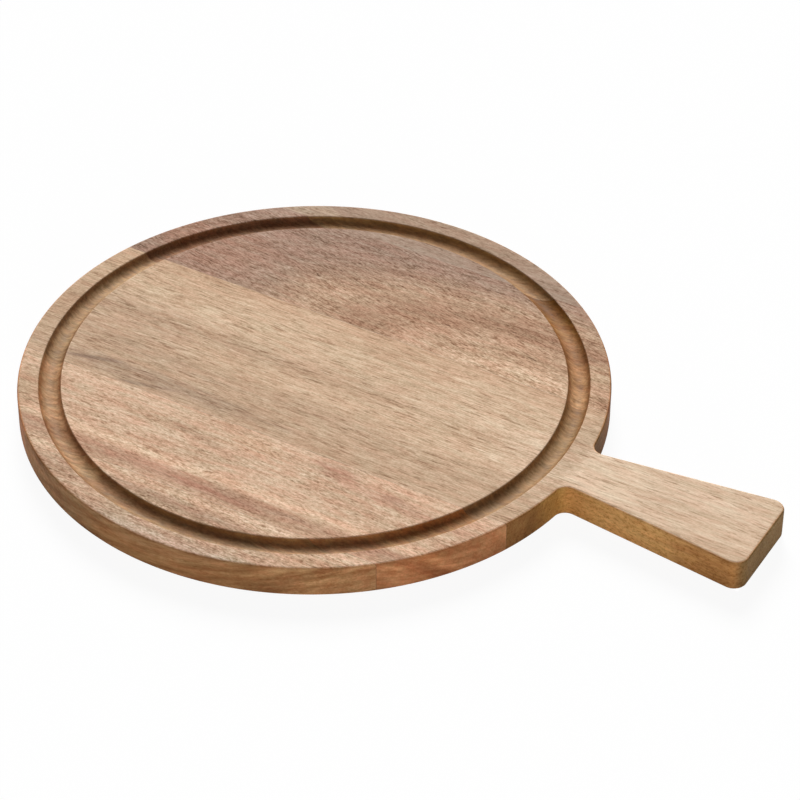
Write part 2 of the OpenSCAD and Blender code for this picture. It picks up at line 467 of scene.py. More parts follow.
class FinishColours(bpy.types.PropertyGroup):
    """The colours that the oil, the cuts and the glue give to the wood, and the painted shade of the
    groove's steep walls. A tint is the share of red, green and blue that the wood keeps."""

    oil_tint: FloatVectorProperty(
        name="Oil Tint", description="Tint of the oil all over the board", default=(0.925, 0.912, 0.86),
        subtype="COLOR", min=0.0, max=1.0,
    )
    pore_tint: FloatVectorProperty(
        name="Pore Tint", description="Tint of the open pores", default=(0.38, 0.28, 0.20),
        subtype="COLOR", min=0.0, max=1.0,
    )
    # How dark the steep walls of the juice groove are painted, as painted shade
    wall_tint: FloatVectorProperty(
        name="Wall Tint", description="Tint of the steep walls of the juice groove",
        default=(0.28, 0.15, 0.05), subtype="COLOR", min=0.0, max=1.0,
    )
    cut_glue_tint: FloatVectorProperty(
        name="Cut Glue Tint", description="Tint of the glue where it shows in a side or in the groove",
        default=(0.72, 0.60, 0.44), subtype="COLOR", min=0.0, max=1.0,
    )
    pale_glue: FloatVectorProperty(
        name="Pale Glue", description="Colour of the glue where it is thick",
        default=(0.34, 0.22, 0.14), subtype="COLOR", min=0.0, max=1.0,
    )
    dark_glue: FloatVectorProperty(
        name="Dark Glue", description="Colour of the glue where it is thin",
        default=(0.25, 0.155, 0.095), subtype="COLOR", min=0.0, max=1.0,
    )


class StudioSettings(bpy.types.PropertyGroup):
    """The camera and the lights."""

    aim: FloatVectorProperty(
        name="Aim", description="Point that the camera looks at", default=(0.03742, 0.02154, 0.0),
        subtype="XYZ", unit="LENGTH",
    )
    azimuth: FloatProperty(
        name="Azimuth", description="Bearing of the camera round the board",
        default=math.radians(29.4347), subtype="ANGLE",
    )
    elevation: FloatProperty(
        name="Elevation", description="Height of the camera above the horizon",
        default=math.radians(38.0897), subtype="ANGLE",
    )
    roll: FloatProperty(
        name="Roll", description="Turn of the camera about its own axis",
        default=math.radians(0.4334), subtype="ANGLE",
    )
    distance: FloatProperty(
        name="Distance", description="Distance from the camera to its aim", default=1.60824,
        unit="LENGTH",
    )
    lens: FloatProperty(
        name="Lens", description="Focal length in millimetres on a 36 mm sensor", default=142.112,
        unit="CAMERA",
    )
    key_strength: FloatProperty(
        name="Key Strength", description="Strength of the soft light above and behind", default=4.38,
    )
    key_bearing: FloatProperty(
        name="Key Bearing", description="Bearing of the light behind, counter-clockwise from X",
        default=math.radians(122.0), subtype="ANGLE",
    )
    key_height: FloatProperty(
        name="Key Height", description="Height of the light behind above the horizon",
        default=math.radians(35.5), subtype="ANGLE",
    )
    key_softness: FloatProperty(
        name="Key Softness", description="Angle that the light behind fills in the sky",
        default=math.radians(25.0), subtype="ANGLE",
    )
    fill_strength: FloatProperty(
        name="Fill Strength", description="Strength of the soft light low in front", default=1.25,
    )
    fill_bearing: FloatProperty(
        name="Fill Bearing", description="Bearing of the light in front, counter-clockwise from X",
        default=math.radians(-52.0), subtype="ANGLE",
    )
    fill_height: FloatProperty(
        name="Fill Height", description="Height of the light in front above the horizon",
        default=math.radians(7.0), subtype="ANGLE",
    )
    fill_softness: FloatProperty(
        name="Fill Softness", description="Angle that the light in front fills in the sky",
        default=math.radians(20.0), subtype="ANGLE",
    )
    under_strength: FloatProperty(
        name="Under Strength", description="Strength of the lamp that shows the underside", default=2.0,
    )
    under_softness: FloatProperty(
        name="Under Softness", description="Angle that the lamp below fills",
        default=math.radians(4.0), subtype="ANGLE",
    )
    room_light: FloatProperty(
        name="Room Light", description="Light that comes evenly from all round", default=0.10,
    )
    floor_bounce: FloatProperty(
        name="Floor Bounce", description="Share of the light that the floor gives back to the board",
        default=0.85, subtype="FACTOR", min=0.0, max=1.0,
    )


class Wires:
    """Adds nodes to a node tree and joins them."""

    def __init__(self, tree):
        self.tree = tree

    def node(self, kind, inputs=None, **settings):
        """Adds a node with its settings and its inputs."""
        made = self.tree.nodes.new(kind)
        for name, value in settings.items():
            setattr(made, name, value)
        for name, value in (inputs or {}).items():
            self.feed(made.inputs[name], value)
        return made

    def feed(self, socket, value):
        """Joins a socket to an input, or sets the input to a value."""
        if isinstance(value, bpy.types.NodeSocket):
            self.tree.links.new(value, socket)
        elif socket.type == "RGBA":
            socket.default_value = (*value[:3], 1.0)
        else:
            socket.default_value = value

    def math(self, operation, *values, clamp=False):
        made = self.node("ShaderNodeMath", dict(enumerate(values)), operation=operation, use_clamp=clamp)
        return made.outputs[0]

    def plus(self, first, *others):
        for other in others:
            first = self.math("ADD", first, other)
        return first

    def minus(self, first, second):
        return self.math("SUBTRACT", first, second)

    def times(self, first, *others):
        for other in others:
            first = self.math("MULTIPLY", first, other)
        return first

    def most(self, first, second):
        return self.math("MAXIMUM", first, second)

    def vector(self, operation, *values):
        made = self.node("ShaderNodeVectorMath", dict(enumerate(values)), operation=operation)
        return made.outputs[0]

    def scaled(self, vector, factor):
        made = self.node("ShaderNodeVectorMath", {0: vector, "Scale": factor}, operation="SCALE")
        return made.outputs[0]

    def length(self, vector):
        return self.node("ShaderNodeVectorMath", {0: vector}, operation="LENGTH").outputs["Value"]

    def combined(self, x, y, z):
        return self.node("ShaderNodeCombineXYZ", {0: x, 1: y, 2: z}).outputs[0]

    def parted(self, vector):
        return self.node("ShaderNodeSeparateXYZ", {0: vector}).outputs

    def noise(self, vector, seed, detail, roughness=0.5):
        """The value and the colour of a noise in space."""
        return self.node(
            "ShaderNodeTexNoise",
            {"Vector": vector, "W": seed, "Scale": 1.0, "Detail": detail, "Roughness": roughness},
            noise_dimensions="4D",
        ).outputs

    def pattern(self, place, pattern, seed=None):
        """The values of a pattern at a place, in a stave with a seed or the same in all of them."""
        own_seed = pattern.seed if seed is None else self.plus(seed, pattern.seed)
        stretched = self.vector("MULTIPLY", place, pattern.scale)
        return self.noise(stretched, own_seed, pattern.detail, pattern.roughness)[0]

    def line_noise(self, place, detail, roughness=0.5):
        """The value of a noise along a line."""
        return self.node(
            "ShaderNodeTexNoise",
            {"W": place, "Scale": 1.0, "Detail": detail, "Roughness": roughness},
            noise_dimensions="1D",
        ).outputs[0]

    def span(self, value, low, high, to_low=0.0, to_high=1.0):
        """A value eased from one range into another."""
        return self.node(
            "ShaderNodeMapRange",
            {"Value": value, "From Min": low, "From Max": high, "To Min": to_low, "To Max": to_high},
            interpolation_type="SMOOTHSTEP",
        ).outputs["Result"]

    def mix(self, factor, under, over):
        """One colour laid over another."""
        return self.node("ShaderNodeMix", {0: factor, 6: under, 7: over}, data_type="RGBA").outputs[2]

    def tinted(self, colour, tint, cover):
        """A colour that is multiplied by a tint where it is covered."""
        return self.mix(cover, colour, self.vector("MULTIPLY", colour, tint))

    def group(self, name, inputs=None):
        """The outputs of a node group."""
        return self.node("ShaderNodeGroup", inputs, node_tree=bpy.data.node_groups[name]).outputs


def new_group(name, inputs, outputs):
    """Makes an empty shader node group, from the labels of its sockets by their kind, and returns its
    wires, its input sockets and its output sockets."""
    tree = bpy.data.node_groups.new(name, "ShaderNodeTree")
    for way, sockets in (("INPUT", inputs), ("OUTPUT", outputs)):
        for kind, labels in sockets.items():
            for label in labels:
                tree.interface.new_socket(name=label, in_out=way, socket_type=f"NodeSocket{kind}")
    wires = Wires(tree)
    return wires, wires.node("NodeGroupInput").outputs, wires.node("NodeGroupOutput").inputs


def linear(colour):
    """A display colour as the linear colour that a shader socket takes."""
    return [c / 12.92 if c <= 0.04045 else ((c + 0.055) / 1.055) ** 2.4 for c in colour]


def make_grain_flow():
    """Where a point of the board lies, in millimetres, and where it lies once the wandering grain is
    straightened out."""
    wires, given, result = new_group(
        "grain_flow",
        {"Float": ("Sway", "Sway Length", "Sway Width", "Seed")},
        {"Vector": ("Place", "Grain")},
    )
    place = wires.scaled(wires.node("ShaderNodeTexCoord").outputs["Object"], MILLIMETRES)
    size = wires.combined(given["Sway Length"], given["Sway Width"], given["Sway Width"])
    drift = wires.noise(wires.vector("DIVIDE", place, size), given["Seed"], 1.0)[1]
    drift = wires.vector("SUBTRACT", drift, (0.5, 0.5, 0.5))
    reach = wires.times(given["Sway"], 2.0)
    drift = wires.vector("MULTIPLY", drift, wires.combined(0.0, reach, reach))
    wires.feed(result["Place"], place)
    wires.feed(result["Grain"], wires.vector("ADD", place, drift))


def make_growth_rings():
    """How far a point is from the heart of the log, and the light and dark of the rings there."""
    wires, given, result = new_group(
        "growth_rings",
        {"Vector": ("Grain", "Heart"), "Float": ("Stretch", "Ring Width", "Seed")},
        {"Float": ("Radius", "Tone")},
    )
    away = wires.vector("SUBTRACT", given["Grain"], given["Heart"])
    away = wires.vector("DIVIDE", away, wires.combined(given["Stretch"], 1.0, 1.0))
    radius = wires.length(away)
    rings = wires.plus(wires.math("DIVIDE", radius, given["Ring Width"]), given["Seed"])
    bands = wires.span(wires.line_noise(rings, 2.0, 0.55), *RING_TONES)
    lines = wires.span(wires.line_noise(wires.times(rings, LINES_PER_RING), 1.0), *RING_TONES)
    clouds = wires.span(wires.pattern(given["Grain"], CLOUDS, given["Seed"]), *CLOUD_TONES)
    streaks = wires.span(wires.pattern(given["Grain"], STREAKS, given["Seed"]), *CLOUD_TONES)
    tone = wires.times(wires.plus(bands, lines), 0.20)
    tone = wires.plus(tone, wires.times(wires.plus(clouds, streaks), 0.30))
    wires.feed(result["Radius"], radius)
    wires.feed(result["Tone"], tone)


def make_fibre_pores():
    """Fine fibres along the grain, the short dark dashes of cut pores, and the flecks of the sides."""
    wires, given, result = new_group(
        "fibre_pores",
        {"Vector": ("Grain",), "Float": ("Slant", "Dash Length", "Dash Width", "Seed")},
        {"Float": ("Fibres", "Pores", "Flecks")},
    )
    seed = given["Seed"]
    place = wires.parted(given["Grain"])
    across = wires.plus(place[1], wires.times(place[0], given["Slant"]))
    slanted = wires.combined(place[0], across, place[2])
    size = wires.combined(given["Dash Length"], given["Dash Width"], given["Dash Width"])
    along = wires.vector("DIVIDE", slanted, size)
    mottle = wires.pattern(given["Grain"], MOTTLE, seed)
    fibres = wires.plus(wires.times(wires.pattern(along, FIBRES, seed), 0.7), wires.times(mottle, 0.3))
    crowd = wires.span(wires.pattern(given["Grain"], PORE_CROWD, seed), *NOISE_TONES, 0.30, 1.0)
    pores = wires.times(wires.span(wires.pattern(along, PORE_DASHES, seed), *PORE_TONES), crowd)
    flecks = wires.span(wires.pattern(given["Grain"], SPECKS, seed), *FLECK_TONES)
    wires.feed(result["Fibres"], fibres)
    wires.feed(result["Pores"], pores)
    wires.feed(result["Flecks"], flecks)


def make_soft_mark():
    """The cover of one mark with a soft and ragged outline, drawn out along the grain."""
    wires, given, result = new_group(
        "soft_mark",
        {"Vector": ("Place", "Centre", "Half Size"), "Float": ("Turn", "Ragged")},
        {"Float": ("Mark",)},
    )
    away = wires.vector("SUBTRACT", given["Place"], given["Centre"])
    away = wires.node(
        "ShaderNodeVectorRotate", {"Vector": away, "Angle": wires.times(given["Turn"], -1.0)},
        rotation_type="Z_AXIS",
    ).outputs[0]
    reach = wires.length(wires.vector("DIVIDE", away, given["Half Size"]))
    rough = wires.minus(wires.pattern(given["Place"], MARK_OUTLINE), 0.5)
    reach = wires.plus(reach, wires.times(rough, given["Ragged"], 2.0))
    cover = wires.span(reach, *MARK_FADE, 1.0, 0.0)
    streaks = wires.span(wires.pattern(given["Place"], MARK_STREAKS), *STREAK_TONES, 0.30, 1.30)
    streaks = wires.plus(wires.times(wires.minus(streaks, 1.0), given["Ragged"]), 1.0)
    wires.feed(result["Mark"], wires.math("MULTIPLY", cover, streaks, clamp=True))


def make_cut_faces():
    """Where the wood is cut upright, where that cut shows the ends of its fibres, where the groove and
    its steep walls are, with the walls' painted shade growing darker deeper down, and the fuzz that the
    cutter left there."""
    wires, given, result = new_group(
        "cut_faces",
        {"Vector": ("Place",), "Float": ("Top", "Groove Middle", "Groove Width")},
        {"Float": CUT_MASKS},
    )
    place = wires.parted(given["Place"])
    facing = wires.parted(wires.node("ShaderNodeTexCoord").outputs["Normal"])
    level = wires.math("ABSOLUTE", facing[2])
    out = wires.length(wires.combined(place[0], place[1], 0.0))
    off = wires.math("ABSOLUTE", wires.minus(out, given["Groove Middle"]))
    depth = wires.minus(given["Top"], place[2])
    reach = wires.times(given["Groove Width"], GROOVE_REACH)
    round_groove = wires.times(
        wires.math("LESS_THAN", off, reach), wires.math("LESS_THAN", depth, reach),
    )
    groove = wires.times(wires.span(depth, *GROOVE_DEPTHS), round_groove)
    edge = wires.times(wires.span(level, *EDGE_LEVELS, 1.0, 0.0), wires.minus(1.0, round_groove))
    end = wires.span(wires.math("ABSOLUTE", facing[0]), *END_FACING)
    wall = wires.times(groove, wires.span(level, *WALL_LEVELS, 1.0, 0.0))
    # Painted shade: the walls are painted darker the deeper they lie
    wall = wires.times(wall, wires.span(depth, *WALL_SHADE_DEPTHS, 0.6, 1.0))
    round_way = wires.times(wires.math("ARCTAN2", place[1], place[0]), given["Groove Middle"])
    fuzz = wires.pattern(wires.combined(round_way, depth, out), CUTTER_FUZZ)
    wires.feed(result["Edge"], edge)
    wires.feed(result["End"], wires.times(edge, end))
    wires.feed(result["Groove"], groove)
    wires.feed(result["Wall"], wall)
    wires.feed(result["Fuzz"], wires.span(fuzz, *CLOUD_TONES))


def make_oiled_surface():
    """The sanded and oiled surface of the wood: rings, fibres, open pores and deeper colour where the
    cut took more oil, with painted light and shade in the groove, painted shade on its steep walls and
    a painted highlight on the eased edges."""
    wires, given, result = new_group(
        "oiled_surface",
        {
            "Float": (
                "Tone", "Ring Contrast", "Slant", "Dash Length", "Dash Width", "Fibre Contrast",
                "Pore Depth", "Side Slope", "Side Bands", "Side Flecks", "Blush", "Seed", *CUT_MASKS,
            ),
            "Vector": ("Grain",),
            "Color": (
                "Colour", "Edge Tint", "End Tint", "Groove Tint", "Wall Tint", "Pore Tint", "Oil Tint",
            ),
        },
        {"Color": ("Colour",), "Float": ("Roughness", "Height")},
    )
    seed = given["Seed"]
    fine = wires.group("fibre_pores", {
        label: given[label] for label in ("Grain", "Slant", "Dash Length", "Dash Width", "Seed")
    })

    # Rings and fibres swing the level of the colour, and red follows it less than blue does
    sawn = wires.most(given["Edge"], given["Groove"])
    calm = wires.minus(1.0, wires.times(sawn, SAWN_LOSS))
    tone = wires.times(wires.minus(given["Tone"], 0.5), given["Ring Contrast"])
    swing = wires.times(wires.minus(fine["Fibres"], 0.5), 4.0, given["Fibre Contrast"], calm)
    level = wires.plus(wires.minus(swing, wires.times(tone, 2.0)), 1.0)
    level = wires.most(level, DARKEST_LEVEL)
    red = wires.math("POWER", level, RED_POWER)
    blue = wires.math("POWER", level, BLUE_POWER)
    colour = wires.vector("MULTIPLY", given["Colour"], wires.combined(red, level, blue))
    blush = wires.span(wires.pattern(given["Grain"], SLOW_BLUSH, seed), *NOISE_TONES)
    colour = wires.tinted(colour, wires.mix(blush, COOL_BLUSH, WARM_BLUSH), given["Blush"])
    pores = wires.times(fine["Pores"], given["Pore Depth"], calm)
    colour = wires.tinted(colour, given["Pore Tint"], pores)

    # The sides show the growth rings as slanting bands, and their eased edges get a painted highlight
    place = wires.parted(given["Grain"])
    rise = wires.minus(place[2], wires.times(place[0], given["Side Slope"]))
    bands = wires.pattern(wires.combined(place[0], place[1], rise), SIDE_BANDS, seed)
    bands = wires.mix(wires.span(bands, *NOISE_TONES), DARK_BAND, PALE_BAND)
    side = wires.tinted(colour, bands, given["Side Bands"])
    side = wires.tinted(side, FLECK_TINT, wires.times(fine["Flecks"], given["Side Flecks"]))
    turned = wires.mix(given["End"], given["Edge Tint"], given["End Tint"])
    colour = wires.mix(given["Edge"], colour, wires.vector("MULTIPLY", side, turned))
    # Painted highlight along the middle of each eased edge
    painted_edge_highlight = wires.times(given["Edge"], wires.minus(1.0, given["Edge"]), 4.0)
    colour = wires.tinted(colour, PAINTED_EDGE_HIGHLIGHT, painted_edge_highlight)

    # The cutter tore the fibres in the groove. The groove's tint holds painted light and shade, and its
    # steep walls take painted shade
    torn = wires.span(wires.pattern(given["Grain"], TORN_FIBRES, seed), *NOISE_TONES)
    torn = wires.plus(wires.times(torn, 0.80), wires.times(given["Fuzz"], 0.20))
    turned = wires.mix(given["Wall"], given["Groove Tint"], given["Wall Tint"])
    turned = wires.scaled(turned, wires.plus(wires.times(torn, 0.64), 0.68))
    colour = wires.tinted(colour, turned, given["Groove"])
    colour = wires.vector("MULTIPLY", colour, given["Oil Tint"])

    torn = wires.times(torn, given["Groove"])
    polish = wires.minus(wires.times(given["Groove"], 0.12), wires.times(torn, 0.18))
    roughness = wires.minus(wires.plus(wires.times(fine["Pores"], 0.18), OIL_ROUGHNESS), polish)
    height = wires.minus(wires.times(fine["Fibres"], 0.6), fine["Pores"])
    height = wires.plus(wires.times(height, calm), wires.times(torn, 1.3))
    wires.feed(result["Colour"], colour)
    wires.feed(result["Roughness"], roughness)
    wires.feed(result["Height"], height)


def make_groups():
    """Builds the node groups that all the woods share, once."""
    if "oiled_surface" in bpy.data.node_groups:
        return
    make_grain_flow()
    make_growth_rings()
    make_fibre_pores()
    make_soft_mark()
    make_cut_faces()
    make_oiled_surface()


def new_material(name):
    """Makes an empty node material and returns it with its wires."""
    material = bpy.data.materials.new(name)
    material.use_nodes = True
    material.node_tree.nodes.clear()
    return material, Wires(material.node_tree)


def values_of(look, *labels):
    """The values of a stave's figure under the labels of their sockets."""
    return {label: getattr(look, label.lower().replace(" ", "_")) for label in labels}


def zone_colours(wires, radius, look, top):
    """The colour of a stave's growth zones at a distance from the heart of the log."""
    reach = [(math.hypot(y - look.heart[1], top - look.heart[2]), colour) for y, colour in look.zones]
    reach.sort()
    first, last = reach[0][0], reach[-1][0]
    ramp = wires.node("ShaderNodeValToRGB", {"Fac": wires.node(
        "ShaderNodeMapRange", {"Value": radius, "From Min": first, "From Max": last},
    ).outputs["Result"]})
    ramp.color_ramp.interpolation = "B_SPLINE" if len(reach) > MOST_EASED_ZONES else "EASE"
    stops = ramp.color_ramp.elements
    while len(stops) < len(reach):
        stops.new(0.5)
    for stop, (distance, colour) in zip(stops, reach):
        stop.position = (distance - first) / (last - first)
        stop.color = (*linear(colour), 1.0)
    return ramp.outputs["Color"]


def mark_cover(wires, place, mark, top):
    """How much of the wood a mark covers at a place."""
    cover = wires.group("soft_mark", {
        "Place": place, "Centre": (mark.x, mark.y, top),
        "Half Size": (mark.half_length, mark.half_width, top * 2.0), "Turn": math.radians(mark.turn),
        "Ragged": mark.ragged,
    })["Mark"]
    return wires.times(cover, mark.strength)


def cut_tint(wires, place, tint, marks, top):
    """The tint of a cut face, with the marks that change it here and there; on the sides, the ends and
    in the groove many of these are painted light and shade.
    """
    for mark in marks:
        tint = wires.mix(mark_cover(wires, place, mark, top), tint, mark.colour)
    return tint


def cut_masks(wires, place):
    """Where a piece of the board is cut upright, shows end grain or lies in the groove."""
    sizes = bpy.context.scene.board_sizes
    return wires.group("cut_faces", {
        "Place": place, "Top": sizes.thickness * MILLIMETRES,
        "Groove Middle": groove_middle(sizes) * MILLIMETRES,
        "Groove Width": sizes.groove_width * MILLIMETRES,
    })


def stave_wood(node):
    """The oiled wood of one stave."""
    make_groups()
    look = FIGURES[node]
    sizes = bpy.context.scene.board_sizes
    finish = bpy.context.scene.board_finish
    top = sizes.thickness * MILLIMETRES
    material, wires = new_material(f"{node}_oiled_wood")
    flow = wires.group("grain_flow", values_of(look, "Sway", "Sway Length", "Sway Width", "Seed"))
    place = flow["Place"]
    rings = wires.group("growth_rings", {
        "Grain": flow["Grain"], **values_of(look, "Heart", "Stretch", "Ring Width", "Seed"),
    })
    colour = zone_colours(wires, rings["Radius"], look, top)
    for mark in look.marks:
        colour = wires.mix(mark_cover(wires, place, mark, top), colour, linear(mark.colour))
    contrast = look.fibre_contrast
    if look.grip_contrast is not None:
        neck = [sizes.board_radius * MILLIMETRES * share for share in GRIP_FADE]
        contrast = wires.span(wires.parted(place)[0], *neck, contrast, look.grip_contrast)
    cut = cut_masks(wires, place)
    surface = wires.group("oiled_surface", {
        "Colour": colour, "Tone": rings["Tone"], "Grain": flow["Grain"], "Fibre Contrast": contrast,
        "Slant": math.tan(math.radians(-look.slant)),
        "Side Slope": math.tan(math.radians(look.side_slant)),
        # The side and end tints hold painted light and shade in part, the groove's tint painted light and
        # shade, and the walls' tint painted shade
        "Edge Tint": cut_tint(wires, place, look.edge_tint, look.side_colour_and_light_marks, top),
        "End Tint": cut_tint(wires, place, look.end_tint, look.end_colour_and_light_marks, top),
        "Groove Tint": cut_tint(wires, place, look.groove_tint, look.groove_shade_and_light_marks, top),
        "Wall Tint": cut_tint(wires, place, finish.wall_tint, look.wall_shade_marks, top),
        "Pore Tint": finish.pore_tint, "Oil Tint": finish.oil_tint,
        **values_of(look, "Ring Contrast", "Dash Length", "Dash Width", "Pore Depth"),
        **values_of(look, "Side Bands", "Side Flecks", "Blush", "Seed"),
        **{label: cut[label] for label in CUT_MASKS},
    })
    bump = wires.node("ShaderNodeBump", {
        "Height": surface["Height"], "Strength": GRAIN_STRENGTH, "Distance": GRAIN_HEIGHT,
    })
    shader = wires.node("ShaderNodeBsdfPrincipled", {
        "Base Color": surface["Colour"], "Roughness": surface["Roughness"], "Normal": bump.outputs[0],
        "Specular IOR Level": OIL_SHINE,
    })
    wires.node("ShaderNodeOutputMaterial", {"Surface": shader.outputs[0]})
    return material


def glue_film(node):
    """The cured glue that shows in one joint."""
    make_groups()
    finish = bpy.context.scene.board_finish
    material, wires = new_material(f"{node}_cured_glue")
    place = wires.group("grain_flow")["Place"]
    smear = wires.span(wires.pattern(place, GLUE_SMEAR), *NOISE_TONES)
    cut = cut_masks(wires, place)
    deep = wires.most(cut["Edge"], cut["Groove"])
    colour = wires.mix(smear, finish.dark_glue, finish.pale_glue)
    shader = wires.node("ShaderNodeBsdfPrincipled", {
        "Base Color": wires.tinted(colour, finish.cut_glue_tint, deep),
        "Roughness": wires.plus(wires.times(smear, 0.14), GLUE_ROUGHNESS),
        "Specular IOR Level": GLUE_SHINE,
    })
    wires.node("ShaderNodeOutputMaterial", {"Surface": shader.outputs[0]})
    return material


def select_where(kind, test):
    """Selects the vertices, edges or faces in edit mode that pass a test, and nothing else."""
    bpy.ops.mesh.select_mode(type={"verts": "VERT", "edges": "EDGE", "faces": "FACE"}[kind])
    bpy.ops.mesh.select_all(action="DESELECT")
    data = bpy.context.edit_object.data
    mesh = bmesh.from_edit_mesh(data)
    found = [element for element in getattr(mesh, kind) if test(element)]
    if not found:
        raise RuntimeError(f"no {kind} were found where the board needs them")
    for element in found:
        element.select_set(True)
    mesh.select_flush_mode()
    bmesh.update_edit_mesh(data)


def near(point):
    """A test for the vertex at a point."""
    return lambda vertex: (vertex.co - point).length < CLOSE_BY


def draw_line(start, end):
    """Draws a straight edge of the outline from one point to the next."""
    select_where("verts", near(start))
    bpy.ops.mesh.extrude_vertices_move(TRANSFORM_OT_translate={"value": end - start})


def draw_arc(start, centre, angle, steps):
    """Draws an arc of the outline from a point round a centre, counter-clockwise from above."""
    select_where("verts", near(start))
    bpy.ops.mesh.spin(steps=steps, angle=-angle, center=centre, axis=(0.0, 0.0, 1.0))


def on_circle(vertex, radius):
    """Whether a vertex lies at a distance from the axis of the round part."""
    return abs(vertex.co.xy.length - radius) < CLOSE_BY


def draw_outline(sizes):
    """Draws the outline of the board on the floor: the round part, and the handle with its neck."""
    radius = sizes.board_radius
    flare = math.atan((sizes.handle_end_width - sizes.handle_root_width) / 2 / (sizes.handle_end - radius))
    along = Vector((math.cos(flare), math.sin(flare), 0.0))
    outward = Vector((-math.sin(flare), math.cos(flare), 0.0))
    root = Vector((radius, sizes.handle_root_width / 2, 0.0))
    reach = root + outward * sizes.neck_radius
    run = math.sqrt(reach.dot(along) ** 2 - reach.length_squared + (radius + sizes.neck_radius) ** 2)
    neck = reach + along * (run - reach.dot(along))
    bearing = math.atan2(neck.y, neck.x)
    corner_x = sizes.handle_end - sizes.corner_radius
    corner_y = root.y + (corner_x - radius) * math.tan(flare) - sizes.corner_radius / math.cos(flare)
    corner = Vector((corner_x, corner_y, 0.0))
    mirror = Vector((1.0, -1.0, 1.0))
    neck_sweep = math.pi / 2 + flare - bearing
    corner_sweep = math.pi / 2 + flare

    bpy.ops.mesh.primitive_circle_add(vertices=sizes.rim_steps, radius=radius, rotation=(0, 0, bearing))
    bpy.context.object.name = PANEL_NAME
    bpy.ops.object.transform_apply(location=False, rotation=True, scale=False)
    bpy.ops.object.mode_set(mode="EDIT")
    select_where("verts", lambda v: abs(math.atan2(v.co.y, v.co.x)) < bearing - SAME_PLACE)
    bpy.ops.mesh.delete(type="VERT")

    back_rim = Vector((math.cos(bearing), math.sin(bearing), 0.0)) * radius
    draw_arc(back_rim, neck, neck_sweep, NECK_STEPS)
    back_side = neck - outward * sizes.neck_radius
    back_corner = corner + outward * sizes.corner_radius
    draw_line(back_side, back_corner)
    draw_arc(back_corner, corner, -corner_sweep, CORNER_STEPS)
    back_end = corner + Vector((sizes.corner_radius, 0.0, 0.0))
    draw_line(back_end, back_end * mirror)
    draw_arc(back_end * mirror, corner * mirror, -corner_sweep, CORNER_STEPS)
    draw_line(back_corner * mirror, back_side * mirror)
    draw_arc(back_side * mirror, neck * mirror, neck_sweep, NECK_STEPS)
    step = 2 * math.pi / sizes.rim_steps
    front_rim = back_rim * mirror
    select_where("verts", lambda v: (v.co - front_rim).length < CLOSE_BY or (
        on_circle(v, radius) and -bearing - step < math.atan2(v.co.y, v.co.x) < -bearing - SAME_PLACE
    ))
    bpy.ops.mesh.edge_face_add()


def extrude_panel(sizes):
    """Thickens the outline to the panel and eases its edges."""
    bpy.ops.mesh.select_all(action="SELECT")
    bpy.ops.mesh.remove_doubles(threshold=SAME_PLACE)
    bpy.ops.mesh.select_all(action="SELECT")
    bpy.ops.mesh.edge_face_add()
    bpy.ops.mesh.extrude_region_move(TRANSFORM_OT_translate={"value": (0.0, 0.0, sizes.thickness)})
    bpy.ops.mesh.select_all(action="SELECT")
    bpy.ops.mesh.normals_make_consistent(inside=False)
    select_where("edges", lambda e: abs(e.verts[0].co.z - e.verts[1].co.z) < SAME_PLACE)
    bpy.ops.mesh.bevel(
        offset=sizes.edge_radius, segments=sizes.edge_steps, profile=0.5, affect="EDGES",
        clamp_overlap=False,
    )


def groove_middle(sizes):
    """The radius of the circle that the groove follows."""
    return sizes.board_radius - sizes.rim_width - sizes.groove_width / 2


def groove_profile(sizes):
    """Points of the groove from its inner lip to its outer one, as radius and height."""
    middle = groove_middle(sizes)
    half = sizes.groove_width / 2
    nose = (sizes.groove_depth ** 2 + half ** 2) / (2 * sizes.groove_depth)
    top = sizes.thickness
    nose_z = top - sizes.groove_depth + nose
    lip = sizes.lip_radius
    lip_z = top - lip
    lip_out = math.sqrt((nose + lip) ** 2 - (nose_z - lip_z) ** 2)
    slope = math.atan2(nose_z - lip_z, lip_out)
    points = []
    for i in range(LIP_STEPS):
        angle = math.pi / 2 + (slope - math.pi / 2) * i / LIP_STEPS
        points.append((middle - lip_out + lip * math.cos(angle), lip_z + lip * math.sin(angle)))
    for i in range(NOSE_STEPS + 1):
        angle = math.pi + slope + (math.pi - 2 * slope) * i / NOSE_STEPS
        points.append((middle + nose * math.cos(angle), nose_z + nose * math.sin(angle)))
    points += [(2 * middle - r, z) for r, z in reversed(points[:LIP_STEPS])]
    return points


def cut_groove(sizes):
    """Opens the top of the panel and turns the juice groove into it."""
    top = sizes.thickness
    select_where("faces", lambda f: f.normal.z > LOOKING_UP)
    bpy.ops.mesh.delete(type="ONLY_FACE")
    profile = groove_profile(sizes)
    radius, height = profile[0]
    bpy.ops.mesh.primitive_circle_add(vertices=sizes.groove_steps, radius=radius, location=(0, 0, height))
    for next_radius, next_height in profile[1:]:
        bpy.ops.mesh.extrude_edges_move(
            TRANSFORM_OT_translate={"value": (0.0, 0.0, next_height - height)}
        )
        grow = next_radius / radius
        bpy.ops.transform.resize(value=(grow, grow, 1.0), center_override=(0.0, 0.0, next_height))
        radius, height = next_radius, next_height

    def level(edge):
        return all(abs(v.co.z - top) < SAME_PLACE for v in edge.verts)

    select_where("edges", lambda e: level(e) and all(on_circle(v, profile[0][0]) for v in e.verts))
    bpy.ops.mesh.edge_face_add()
    select_where("edges", lambda e: e.is_boundary)
    bpy.ops.mesh.fill(use_beauty=True)
    bpy.ops.mesh.select_all(action="SELECT")
    bpy.ops.mesh.remove_doubles(threshold=SAME_PLACE)
    bpy.ops.mesh.normals_make_consistent(inside=False)
    loose = [e for e in bmesh.from_edit_mesh(bpy.context.edit_object.data).edges if not e.is_manifold]
    if loose:
        raise RuntimeError(f"the panel has {len(loose)} open edges")


